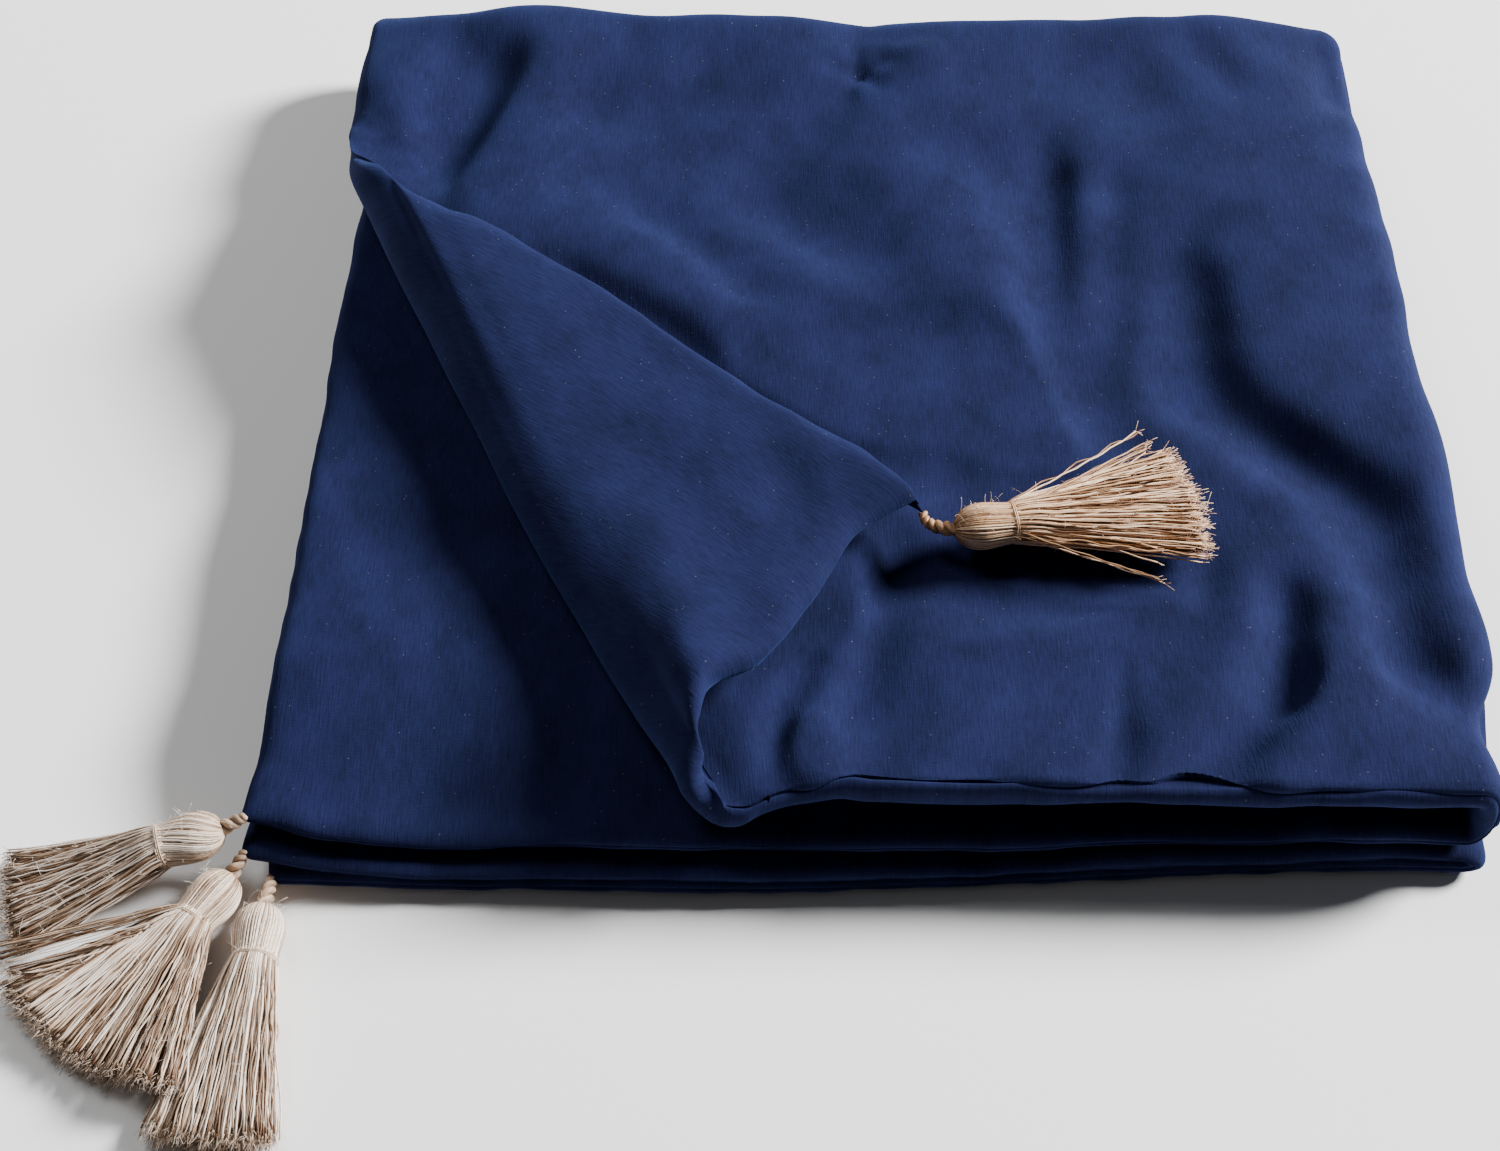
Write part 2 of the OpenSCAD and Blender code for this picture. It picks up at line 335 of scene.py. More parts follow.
# Ridges (positive) and valleys (negative) of the top layer: start, end, half width, height
TOP_FOLDS = (
    # creases round the tack stitch
    ((0.004, 0.272), (0.012, 0.300), 0.007, -0.0045),
    ((0.010, 0.262), (0.042, 0.250), 0.007, 0.0030),
    ((0.042, 0.250), (0.052, 0.215), 0.009, 0.0030),
    ((-0.010, 0.260), (-0.045, 0.235), 0.009, 0.0025),
    ((-0.020, 0.285), (-0.055, 0.300), 0.012, 0.0030),
    # the long valley right of the lying tassel, and the broad ridge beyond it
    ((0.185, 0.062), (0.184, -0.019), 0.020, -0.0060),
    ((0.184, -0.019), (0.222, -0.066), 0.017, -0.0060),
    ((0.222, -0.066), (0.250, -0.100), 0.015, -0.0055),
    ((0.254, -0.110), (0.263, -0.215), 0.014, -0.0045),
    ((0.245, 0.180), (0.262, -0.005), 0.042, 0.0075),
    ((0.262, -0.005), (0.298, -0.066), 0.026, 0.0055),
    ((0.300, -0.080), (0.300, -0.200), 0.020, 0.0050),
    # the curved valley that ends at the front hem, between two ridges
    ((0.212, -0.172), (0.206, -0.230), 0.011, -0.0075),
    ((0.206, -0.230), (0.152, -0.290), 0.012, -0.0075),
    ((0.238, -0.178), (0.233, -0.236), 0.014, 0.0060),
    ((0.233, -0.236), (0.200, -0.280), 0.014, 0.0045),
    ((0.190, -0.165), (0.150, -0.250), 0.018, 0.0045),
    # streaks behind and in front of the lying tassel
    ((0.113, 0.175), (0.105, 0.050), 0.013, -0.0030),
    ((0.152, 0.140), (0.143, 0.030), 0.013, -0.0032),
    ((0.132, 0.160), (0.125, 0.040), 0.011, 0.0022),
    ((0.128, -0.215), (0.120, -0.285), 0.010, -0.0035),
    ((0.055, 0.080), (0.075, -0.030), 0.030, 0.0030),
    # pulls beside the back end of the crease
    ((-0.244, 0.294), (-0.259, 0.205), 0.016, -0.0040),
    ((-0.226, 0.236), (-0.255, 0.150), 0.018, -0.0070),
    ((-0.270, 0.250), (-0.285, 0.190), 0.015, 0.0035),
    ((-0.190, 0.250), (-0.215, 0.140), 0.022, 0.0045),
    # beside the turned-back corner's long hem
    ((-0.193, 0.104), (-0.121, 0.068), 0.022, 0.0050),
    ((-0.121, 0.068), (0.004, -0.050), 0.022, 0.0045),
    ((-0.167, 0.065), (-0.096, 0.007), 0.014, -0.0035),
    ((-0.123, 0.116), (-0.069, 0.044), 0.016, -0.0035),
    ((-0.070, 0.108), (0.029, -0.014), 0.020, 0.0030),
    # small dips near the front right
    ((0.177, -0.150), (0.174, -0.190), 0.011, -0.0035),
    ((0.247, -0.201), (0.287, -0.235), 0.013, -0.0035),
    # beside the roll's front end
    ((0.016, -0.150), (-0.008, -0.241), 0.012, -0.0055),
    ((-0.012, -0.190), (-0.035, -0.280), 0.014, 0.0050),
    ((-0.025, -0.216), (-0.061, -0.290), 0.011, -0.0070),
    # the back right corner and the middle
    ((0.285, 0.285), (0.288, 0.230), 0.010, -0.0050),
    ((0.193, 0.299), (0.232, 0.224), 0.014, -0.0030),
    ((0.107, 0.142), (0.129, -0.047), 0.024, -0.0028),
    ((0.020, 0.190), (0.090, -0.060), 0.028, 0.0025),
)
TACK = Vector((0.0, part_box("upper_tack_stitches")[0].y))  # the stitch in the top layer
TACK_DEPTH = 0.0065                                       # how far a tack stitch pulls the cloth in


def grid_sheet(x, y, height):
    """A mesh object through a grid of points."""
    rows, columns = x.shape
    corner = [j * columns + i for j in range(rows - 1) for i in range(columns - 1)]
    mesh = bpy.data.meshes.new("sheet")
    mesh.from_pydata(np.stack([x.ravel(), y.ravel(), height.ravel()], 1).tolist(), [],
                     [(k, k + 1, k + columns + 1, k + columns) for k in corner])
    return link("sheet", mesh)


def simulated(x, y, height):
    """Heights of a sheet after it has grown a little in a cloth simulation, its edges and tack held."""
    sheet = grid_sheet(x, y, height)
    mesh = sheet.data
    held = np.hypot(x - TACK.x, y - TACK.y) < 0.008
    held[[0, -1]] = held[:, [0, -1]] = True
    pins = sheet.vertex_groups.new(name="held")
    pins.add([int(i) for i in np.nonzero(held.ravel())[0]], 1.0, "REPLACE")
    cloth = sheet.modifiers.new("cloth", "CLOTH")
    cloth.collision_settings.use_collision = False
    cloth.point_cache.frame_start, cloth.point_cache.frame_end = 1, SIM_FRAMES
    settings = cloth.settings
    settings.quality, settings.mass, settings.air_damping = 5, 0.3, 5
    settings.tension_stiffness = settings.compression_stiffness = 15
    settings.shear_stiffness, settings.bending_stiffness = 5, 15
    settings.shrink_min = -SIM_GROWTH
    settings.vertex_group_mass = pins.name
    settings.effector_weights.gravity = 0
    for step in range(1, SIM_FRAMES + 1):
        bpy.context.scene.frame_set(step)
    shape = sheet.evaluated_get(bpy.context.evaluated_depsgraph_get()).to_mesh()
    result = np.zeros(3 * len(shape.vertices), np.float32)
    shape.vertices.foreach_get("co", result)
    bpy.data.objects.remove(sheet)
    bpy.data.meshes.remove(mesh)
    bpy.context.scene.frame_set(1)
    return result.reshape(*x.shape, 3)[..., 2].astype(float)


def blurred(grid):
    """The grid with each height averaged with its neighbours'."""
    for axis in (0, 1):
        grid = (np.roll(grid, 1, axis) + 2 * grid + np.roll(grid, -1, axis)) / 4
    return grid


def placed(x, y):
    """Height of the listed folds."""
    height = 0.0006 * waves(x, y, 0.07, 5)
    for start, end, width, size in TOP_FOLDS:
        height += size * crest(x, y, start, end, width)
    return height


def top_sheet():
    """Heights of the top layer's folds on a grid: the placed folds as they settle in real cloth."""
    x, y = np.meshgrid(np.arange(LEFT, RIGHT + 0.001, SIM_STEP), np.arange(FRONT, FOLD_Y + 0.015, SIM_STEP))
    height = simulated(x, y, placed(x, y))
    return SIM_SHARE * blurred(blurred(height))


def spline(t):
    """The weight of a grid point t steps away, for a smooth surface through a grid of heights."""
    t = np.abs(t)
    return np.where(t < 1, 2 / 3 - t * t + t ** 3 / 2, (2 - np.minimum(t, 2)) ** 3 / 6)


def sampled(grid, x, y):
    """The sheet's smooth height at any place on the mat."""
    i, j = (x - LEFT) / SIM_STEP, (y - FRONT) / SIM_STEP
    column, row = np.floor(i).astype(int), np.floor(j).astype(int)
    total = np.zeros_like(x)
    for b in range(-1, 3):
        for a in range(-1, 3):
            near = np.clip(row + b, 0, grid.shape[0] - 1), np.clip(column + a, 0, grid.shape[1] - 1)
            total += spline(i - column - a) * spline(j - row - b) * grid[near]
    return total


def tack_dimple(x, y):
    """The pull of a tack stitch: a small pit in a wide hollow, with a few creases round it."""
    dx, dy = x - TACK.x, y - TACK.y
    r = np.hypot(dx, dy)
    rays = np.cos(5 * np.arctan2(dy, dx) + 0.8)
    pit = -TACK_DEPTH * (0.8 * bell(r, 0.006) + 0.4 * bell(r, 0.030))
    return pit + 0.0011 * rays * bell(r - 0.016, 0.012)


def top_relief(x, y, sheet, flat_top):
    """The top layer's folds: soft everywhere, and low where the lying tassel rests and swings."""
    height = flat_top * (sampled(sheet, x, y) + PLACED_SHARE * placed(x, y) + tack_dimple(x, y))
    bed = flat_top * np.exp(-((x - BED[0]) / BED_SIZE[0]) ** 4 - ((y - BED[1]) / BED_SIZE[1]) ** 4)
    height = height * (1 - 0.9 * bed) - BED_DEPTH * bed
    height += flat_top * 0.0014 * waves(x, y, 0.16, 21)
    clear = smooth(np.hypot(x - TIP[0], y - TIP[1]), SWEEP, SWEEP + 0.05)
    limit = np.where(height < 0, DEEPEST, LOW_RIDGE + (HIGHEST - LOW_RIDGE) * clear)
    return limit * np.tanh(height / limit) - 2 * LOW_RIDGE * flat_top * (1 - clear)


def wrinkled(points, normals, u, v):
    """Moves both sides of the cloth along their normals into wrinkles, bulges and puckers."""
    face = np.arange(len(points)) < len(points) // 2
    x, y = points[:, 0], points[:, 1]
    distance = from_corner(u, v)
    sheet = top_sheet()
    top = face & (u < FLAT_U + TURN_ARC / 2) & (v < FLAT_V + BACK_ARC)
    past_roll = smooth(distance, ROLL_START + PRE_ROLL, ROLL_START + PRE_ROLL + 0.04)
    flat_top = top * past_roll * (1 - smooth(v, FLAT_V - 0.03, FLAT_V + 0.03))
    flap_top = ~face * (v < FLAT_V) * smooth(ROLL_START - distance, ROLL_TIGHT, ROLL_CREST)
    height = top_relief(x, y, sheet, flat_top)
    height += flap_top * (0.0010 * waves(x, y, 0.09, 23) + 0.15 * sampled(sheet, y, -x))
    height += (1 - flat_top) * (1 - flap_top) * 0.0004 * waves(u, v, 0.08, 24)
    hem = hem_distance(u, v)
    pucker = np.exp(-hem / 0.012) * smooth(hem, 0, 0.003)
    height += 0.0005 * pucker * waves(u + v, u - v, 0.045, 25)
    return points + normals * height[:, None]


# How far the stack swells past the plain folded shape
RIGHT_SWELL, BACK_SWELL = 0.0090, 0.023  # outwards at the right and back folds
LEFT_SWELL = 0.011                       # outwards at the back left corner
BACK_RISE = 0.010                        # upwards beside the back fold, but less at the tack
INNER_WAVES = 0.0030                     # how far the inner layers undulate
FLOOR_Z = 0.0004                         # the lowest layer lies flat at this height


def settled(points):
    """Bulges of the whole stack: the right fold, the back fold and the back left corner swell."""
    x, y, z = points.T
    right, back = smooth(x, 0.20, RIGHT), smooth(y, 0.20, 0.30)
    back_left = smooth(y, 0.175, 0.24) * smooth(-x, 0.20, 0.30)
    beside_tack = 1 - 0.75 * bell(x - TACK.x, 0.04)
    raised = back * beside_tack * smooth(z, 0.045, 0.06) * smooth(0.29 - np.abs(x), 0, 0.08)
    inner = smooth(STACK / 2 - np.abs(z - STACK / 2), 0, 0.025) * smooth(-y, -0.25, -0.17)
    inner *= smooth(np.hypot(x - LEFT, y - FRONT), 0.03, 0.12)
    out = points.copy()
    out[:, 0] += right * (RIGHT_SWELL + 0.0012 * waves(y, z, 0.12, 31)) - LEFT_SWELL * back_left
    out[:, 1] += BACK_SWELL * back * (1 + 0.15 * waves(x, z, 0.25, 32))
    out[:, 2] += BACK_RISE * raised + INNER_WAVES * inner * waves(x, y, 0.16, 33)
    out[:, 2] = np.maximum(out[:, 2], FLOOR_Z)
    return out


# Where the turned-back corner's hems lie, from its tip along its long hem and along its short one
LONG_HEM = (
    TIP, (0.018, -0.109, 0.076), (-0.032, -0.070, 0.077), (-0.113, -0.002, 0.079),
    (-0.173, 0.048, 0.082), (-0.230, 0.086, 0.084), (-0.259, 0.103, 0.084), (-0.287, 0.137, 0.079),
    (-0.306, 0.177, 0.063), (-0.309, 0.206, 0.057), (-0.309, 0.250, 0.055))
SHORT_HEM = (
    TIP, (0.018, -0.139, 0.075), (-0.008, -0.160, 0.076), (-0.034, -0.199, 0.077),
    (-0.057, -0.230, 0.077), (-0.086, -0.264, 0.078), (-0.081, -0.282, 0.067), (-0.073, -0.297, 0.059),
    (-0.060, -0.302, 0.055), (-0.048, -0.298, 0.057), (-0.020, -0.293, 0.057))
LONG_FADE, SHORT_FADE = (0.46, 0.55), (0.24, 0.31)  # where the hems find back to the plain folded shape
SHORT_END = 0.30                                    # how far along it the short hem is drawn
HEM_PULL = 0.080                                    # how far in from a hem the cloth follows it
SEWN_PULL = 0.035                                   # and how far round a corner it follows the cord


def through(waypoints, arc):
    """The point at each arc length on a smooth curve through the waypoints."""
    way = np.array(waypoints)
    at = np.concatenate([[0], np.linalg.norm(np.diff(way, axis=0), axis=1).cumsum()])
    slope = np.gradient(way, at, axis=0)
    k = np.clip(np.searchsorted(at, arc, side="right") - 1, 0, len(at) - 2)
    span = (at[k + 1] - at[k])[:, None]
    t = (arc - at[k])[:, None] / span
    start = way[k] + (t * span) * slope[k]
    end = way[k + 1] - ((1 - t) * span) * slope[k + 1]
    return start + (end - start) * (3 * t - 2 * t * t) * t


def drawn(points, u, v):
    """Draws the turned-back corner to where its hems lie, which is a little off the straight fold."""
    along = np.arange(0, LONG_FADE[1], 0.003)
    hem = 0 * along
    long_pull = through(LONG_HEM, along) - fold(hem, along, 1)
    long_pull *= 1 - smooth(along, *LONG_FADE)[:, None]
    short_pull = through(SHORT_HEM, np.minimum(along, SHORT_END)) - fold(along, hem, 1)
    short_pull *= 1 - smooth(along, *SHORT_FADE)[:, None]
    near_long, near_short = bell(u, HEM_PULL), bell(v, HEM_PULL)
    on_top = (v < FLAT_V) * (u < FLAT_U)
    distance = from_corner(u, v)  # cloth that lies equally far moves together
    out = points.copy()
    for axis in range(3):
        long_move = np.interp(distance / INWARD.y, along, long_pull[:, axis]) * near_long
        short_move = np.interp(distance / INWARD.x, along, short_pull[:, axis]) * near_short
        out[:, axis] += (long_move + short_move - long_pull[0, axis] * near_long * near_short) * on_top
    return out


def sewn(points, u, v):
    """Draws the other three corners to the cords that are sewn into them."""
    out = points.copy()
    for name, corner_u, corner_v in (("top", U_END, 0.0), ("middle", U_END, V_END), ("bottom", 0.0, V_END)):
        corner = fold(np.array([corner_u]), np.array([corner_v]), 1)[0]
        root = np.array(JOINTS[f"{name}_tassel_swing"]["pos_m"])
        near = np.exp(-((u - corner_u) ** 2 + (v - corner_v) ** 2) / SEWN_PULL ** 2)
        out += near[:, None] * (root - corner)
    return out


# ---------- materials ----------

def new_material(name):
    """A material with its node tree and its main shader."""
    material = bpy.data.materials.new(name)
    material.use_nodes = True
    tree = material.node_tree
    return material, tree, tree.nodes["Principled BSDF"]


def set_inputs(node, values):
    """Sets a node's inputs by name."""
    for key, value in values.items():
        node.inputs[key].default_value = value


def add(tree, kind, **settings):
    """A new node with these inputs and settings."""
    node = tree.nodes.new(kind)
    for key, value in settings.items():
        if key in node.inputs:
            node.inputs[key].default_value = value
        else:
            setattr(node, key, value)
    return node


def maths(tree, operation, *values):
    """A maths node's result; each value is a number or another node's output."""
    node = add(tree, "ShaderNodeMath", operation=operation)
    for socket, value in zip(node.inputs, values):
        if isinstance(value, (int, float)):
            socket.default_value = value
        else:
            tree.links.new(value, socket)
    return node.outputs[0]


def noise(tree, place, stretch, detail=2.0, roughness=0.5):
    """Noise between about 0.2 and 0.8; stretch is how often it changes per metre, across and along."""
    mapped = add(tree, "ShaderNodeMapping", Scale=(*stretch, stretch[0]))
    tree.links.new(place, mapped.inputs["Vector"])
    texture = add(tree, "ShaderNodeTexNoise", Scale=1.0, Detail=detail, Roughness=roughness)
    tree.links.new(mapped.outputs[0], texture.inputs["Vector"])
    return texture.outputs["Fac"]


def bumped(tree, bsdf, height, strength, depth):
    """Gives the surface a fine relief from a node's output."""
    bump = add(tree, "ShaderNodeBump", Strength=strength, Distance=depth)
    tree.links.new(height, bump.inputs["Height"])
    tree.links.new(bump.outputs["Normal"], bsdf.inputs["Normal"])


def cotton(name, color):
    """Brushed navy cotton: fine ribs along the cloth, a blotchy nap and a few light specks of lint."""
    material, tree, bsdf = new_material(name)
    cloth = add(tree, "ShaderNodeUVMap", uv_map="cloth").outputs["UV"]
    ribs = noise(tree, cloth, (950, 90), 3, 0.6)
    threads = noise(tree, cloth, (260, 1300), 2)
    nap = noise(tree, cloth, (34, 22), 5, 0.62)
    shade = maths(tree, "MULTIPLY_ADD", ribs, 1.1, -0.55)
    shade = maths(tree, "MULTIPLY_ADD", threads, 0.5, maths(tree, "ADD", shade, -0.25))
    shade = maths(tree, "MULTIPLY_ADD", nap, 1.4, maths(tree, "ADD", shade, 0.28))
    shade = maths(tree, "MAXIMUM", shade, 0.25)
    tone = add(tree, "ShaderNodeVectorMath", operation="SCALE")
    tone.inputs[0].default_value = color
    tree.links.new(shade, tone.inputs["Scale"])
    specks = add(tree, "ShaderNodeTexVoronoi", Scale=150.0)  # about as many specks to the metre
    tree.links.new(cloth, specks.inputs["Vector"])
    lint = maths(tree, "MULTIPLY", maths(tree, "LESS_THAN", specks.outputs["Distance"], 0.055), 0.05)
    tinted = add(tree, "ShaderNodeVectorMath", operation="ADD")
    tree.links.new(tone.outputs[0], tinted.inputs[0])
    tree.links.new(lint, tinted.inputs[1])
    tree.links.new(tinted.outputs[0], bsdf.inputs["Base Color"])
    bumped(tree, bsdf, maths(tree, "MULTIPLY_ADD", threads, 0.5, ribs), 0.55, 0.0005)
    set_inputs(bsdf, {"Roughness": 0.92, "Specular IOR Level": 0.06, "Sheen Weight": 0.12,
                      "Sheen Roughness": 0.45, "Sheen Tint": (0.16, 0.29, 0.85, 1)})
    return material


def jute(name, pale, tan, dark):
    """Jute or thread: each yarn has its own shade, kept in the mesh, with fibres that run along it."""
    material, tree, bsdf = new_material(name)
    yarn = add(tree, "ShaderNodeUVMap", uv_map="yarn").outputs["UV"]
    own = add(tree, "ShaderNodeAttribute", attribute_name="shade").outputs["Fac"]
    fibres = noise(tree, yarn, (5.3, 170), 3, 0.65)
    tone = maths(tree, "MULTIPLY_ADD", fibres, 0.9, maths(tree, "ADD", own, -0.45))
    ramp = add(tree, "ShaderNodeValToRGB")
    first, last = ramp.color_ramp.elements
    first.position, first.color = 0.05, (*dark, 1)
    last.position, last.color = 0.85, (*pale, 1)
    ramp.color_ramp.elements.new(0.42).color = (*tan, 1)
    tree.links.new(tone, ramp.inputs["Fac"])
    tree.links.new(ramp.outputs["Color"], bsdf.inputs["Base Color"])
    bumped(tree, bsdf, fibres, 0.35, 0.0002)
    set_inputs(bsdf, {"Roughness": 0.5, "Specular IOR Level": 0.4})
    return material


FACE_COTTON = cotton("face_cotton", (0.0080, 0.0106, 0.0415))
JUTE = jute("jute", (0.90, 0.80, 0.71), (0.56, 0.40, 0.28), (0.13, 0.065, 0.032))
THREAD = jute("tack_thread", (0.020, 0.028, 0.075), (0.008, 0.012, 0.045), (0.003, 0.004, 0.018))
JUTE_WARM = jute("jute_warm", (0.87, 0.66, 0.47), (0.56, 0.32, 0.16), (0.15, 0.058, 0.02))


# ---------- pieces ----------

def piece(name, points, polygons, normals, uv):
    """A mesh object from some polygons of the whole skin, shaded with the whole skin's normals."""
    used = sorted({i for p in polygons for i in p})
    where = {old: new for new, old in enumerate(used)}
    mesh = bpy.data.meshes.new(name)
    mesh.from_pydata(points[used].tolist(), [], [[where[i] for i in p] for p in polygons])
    mesh.materials.append(FACE_COTTON)
    layer = mesh.uv_layers.new(name="cloth")
    corner = np.zeros(len(mesh.loops), np.int32)
    mesh.loops.foreach_get("vertex_index", corner)
    layer.data.foreach_set("uv", uv[used][corner].astype(np.float32).ravel())
    mesh.polygons.foreach_set("use_smooth", [True] * len(mesh.polygons))
    mesh.normals_split_custom_set_from_vertices(normals[used].tolist())
    return link(name, mesh)


def piece_of(u, v):
    """Which piece a spot of the cloth belongs to."""
    distance = from_corner(u, v)
    if v > FLAT_V + BACK_ARC:
        return "mat_lower"
    if v > FLAT_V:
        return "mat_back_fold"
    if distance < ROLL_START - FLAP_START:
        return "mat_corner"
    if distance < ROLL_START + PRE_ROLL:
        return "mat_crease"
    return "mat_upper"


def closed_skin(own, twin):
    """A piece's polygons on both sides of the cloth, with a strip that closes it wherever it is cut."""
    edges = [(a, b) for f in own for a, b in zip(f, f[1:] + f[:1])]
    shared = {(b, a) for a, b in edges}
    strips = []
    for a, b in edges:
        if (a, b) not in shared and (twin[a] != a or twin[b] != b):
            ring = [b, a, int(twin[a]), int(twin[b])]
            strips.append([i for k, i in enumerate(ring) if i not in ring[:k]])
    return own + [[int(twin[i]) for i in reversed(f)] for f in own] + strips


def mat_pieces():
    """The folded mat as one wrinkled skin, cut into the pieces that move apart."""
    uv, faces = flat_cloth()
    points, polygons, twin = shell(uv, faces)
    both = np.tile(uv, (2, 1))
    u, v = both.T
    points = wrinkled(points, vertex_normals(points, polygons), u, v)
    points = settled(sewn(drawn(points, u, v), u, v))
    normals = vertex_normals(points, polygons)
    groups = {}
    for f in faces:
        groups.setdefault(piece_of(*uv[f].mean(0)), []).append(f)
    return {name: piece(name, points, closed_skin(own, twin), normals, both)
            for name, own in groups.items()}


mat = mat_pieces()
for name, body, part in (("mat_lower", "lower_half", "lower"), ("mat_upper", "upper_half", "upper"),
                         ("mat_corner", "corner_flap", "flap")):
    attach(mat[name], body)
    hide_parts(f"{part}_face_panel", f"{part}_backing_panel", f"{part}_wadding")
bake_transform(mat["mat_back_fold"])
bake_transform(mat["mat_crease"])
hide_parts("back_fold_outer_roll", "back_fold_inner_roll")
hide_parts("corner_crease_roll")


# ---------- jute tassels ----------

class Tassel:
    """Where a tassel lies: its cord's root, its head's start, its heading, and how its skirt fans out."""

    def __init__(self, name, skirt, fan, surface, yarns, drop=0.0, raised=(0.0, 0.0), bunches=(),
                 swirl=0.15, tint=0.0):
        swing, lift = JOINTS[f"{name}_tassel_swing"], JOINTS[f"{name}_tassel_lift"]
        self.name, self.skirt, self.surface, self.yarns = name, skirt, surface, yarns
        self.fan = [math.radians(a) for a in fan]
        self.raised, self.bunches, self.swirl, self.tint = raised, bunches, swirl, tint
        self.root, self.start = np.array(swing["pos_m"]), np.array(lift["pos_m"])
        self.side = np.array(lift["axis"])
        flat, down = np.array([self.side[1], -self.side[0], 0.0]), math.radians(drop)
        self.forward = flat * math.cos(down) - np.array([0, 0, math.sin(down)])
        self.up = np.cross(self.forward, self.side)

    def at(self, along, side, up):
        """Points given along the heading, to the side and upwards from where the head starts."""
        parts = (np.asarray(along), self.forward), (np.asarray(side), self.side), (np.asarray(up), self.up)
        return self.start + sum(d[..., None] * axis for d, axis in parts)


# The skirt's length, edges in degrees, the height it lies on and its yarns. Drop: degrees the head tips
# down. Raised: how much higher the yarns lie on each side. Swirl: how far the head's yarns turn.
# Bunches, loose strands beside the skirt: heading, spread, number of yarns, share of its length.
TASSELS = (
    Tassel("turned", 0.100, (-13, 19), STACK, 460, tint=-0.08,
           bunches=((27, 1.6, 11, 0.97), (-24, 2.2, 5, 0.80))),
    Tassel("top", 0.080, (-16, 15), 0.0, 430, drop=7, swirl=1.2, tint=-0.02),
    Tassel("middle", 0.086, (-29, 26), 0.0, 640, raised=(0.004, 0.009), tint=-0.07,
           bunches=((-37, 3.5, 34, 0.98),)),
    Tassel("bottom", 0.094, (-19, 8), 0.0, 420),
)
HEAD_L = 0.031                              # from the cord's end to the binding
HEAD_R, NECK_R = 0.0122, 0.0107
FLATTENED = 0.94                            # a head's height as a share of its width
SKIRT_T = 0.013                             # how thick a skirt lies at its end
YARN_R, FRAY_R, FUZZ_R = 0.00046, 0.00013, 0.00008
YARN_ROUND = 0.98                           # how far the texture goes round a yarn before the next one's
YARN_SPREAD = math.radians(1.3)             # how far a yarn's heading strays from its place in the fan
SWAY, KINK, DROOP = 0.0013, 0.0004, 0.0007  # how far yarns curve, kink and sag on their way
FLARE = 0.0012                              # how far they swell out just past the binding
RIM_SHARE = 0.45                            # the share of them that closes the skirt's outside
FINE_Z = 0.0003                             # fine fibres end this high above what they lie on
CORD_PITCH = 0.009                          # length of one twist of a cord
CORD_R, CORD_GAIN = 0.00125, 0.0008         # how far a ply lies from the middle, and more at the head
KNOT = (0.0022, 0.0009, 0.0006)             # half the length, width and height of a tack's loops
KNOT_IN = 0.0012                            # how far the lower side's knot lies in the cloth
SEED = 70


def tube_rings(paths, radius, sides):
    """The rings of points round each path, twisted as little as possible from one to the next."""
    tangent = unit(np.gradient(paths, axis=1))
    helper = np.where(np.abs(tangent[:, :1, 2:]) < 0.9, [0, 0, 1.0], [1.0, 0, 0])[:, 0]
    normal = np.cross(tangent[:, 0], helper)
    turn = np.linspace(0, math.tau, sides, endpoint=False)
    rings = np.zeros((*paths.shape[:2], sides, 3))
    for k in range(paths.shape[1]):
        t = tangent[:, k]
        normal = unit(normal - t * (normal * t).sum(1, keepdims=True))
        other = np.cross(t, normal)
        ring = np.cos(turn)[None, :, None] * normal[:, None] + np.sin(turn)[None, :, None] * other[:, None]
        rings[:, k] = paths[:, k, None] + ring * radius[:, k, None, None]
    return rings


def tube_skin(length, sides, first, number):
    """One tube's polygons and texture places; its points start at first, its rings lie at these lengths."""
    faces, uvs = [], []
    for k, (v0, v1) in enumerate(zip(length, length[1:])):
        low, high = first + k * sides, first + (k + 1) * sides
        for j in range(sides):
            n = (j + 1) % sides
            u0, u1 = number + j / sides * YARN_ROUND, number + (j + 1) / sides * YARN_ROUND
            faces.append((low + j, low + n, high + n, high + j))
            uvs += [(u0, v0), (u1, v0), (u1, v1), (u0, v1)]
    last = first + (len(length) - 1) * sides
    faces += [tuple(range(first + sides - 1, first - 1, -1)), tuple(range(last, last + sides))]
    uvs += [(number + 0.5, 0.0)] * sides + [(number + 0.5, length[-1])] * sides
    return faces, uvs


def tube_mesh(name, groups, material):
    """One mesh of many tubes. Each group has its paths (tube, point, 3), radius, sides and shade."""
    points, faces, uvs, shades, number, base = [], [], [], [], 0, 0
    for paths, radius, sides, shade in groups:
        tubes, steps = paths.shape[:2]
        rings = tube_rings(paths, np.broadcast_to(radius, (tubes, steps)), sides)
        points.append(rings.reshape(-1, 3))
        shades.append(np.repeat(np.broadcast_to(shade, (tubes, steps)).ravel(), sides))
        pieces = np.linalg.norm(np.diff(paths, axis=1), axis=2)
        length = np.concatenate([np.zeros((tubes, 1)), pieces.cumsum(1)], 1)
        for own in length:
            new_faces, new_uvs = tube_skin(own, sides, base, number)
            faces += new_faces
            uvs += new_uvs
            number += 1
            base += steps * sides
    mesh = bpy.data.meshes.new(name)
    mesh.from_pydata(np.concatenate(points).tolist(), [], faces)
    mesh.uv_layers.new(name="yarn").data.foreach_set("uv", np.array(uvs, np.float32).ravel())
    own = mesh.attributes.new("shade", "FLOAT", "POINT")
    own.data.foreach_set("value", np.concatenate(shades).astype(np.float32))
    mesh.polygons.foreach_set("use_smooth", [True] * len(mesh.polygons))
    mesh.materials.append(material)
    return link(name, mesh)


def yarn_shades(t, rng, count):
    """Most yarns are tan or pale, and some are dark."""
    return np.clip(rng.beta(1.1, 1.3, (count, 1)) + t.tint, 0, 1)


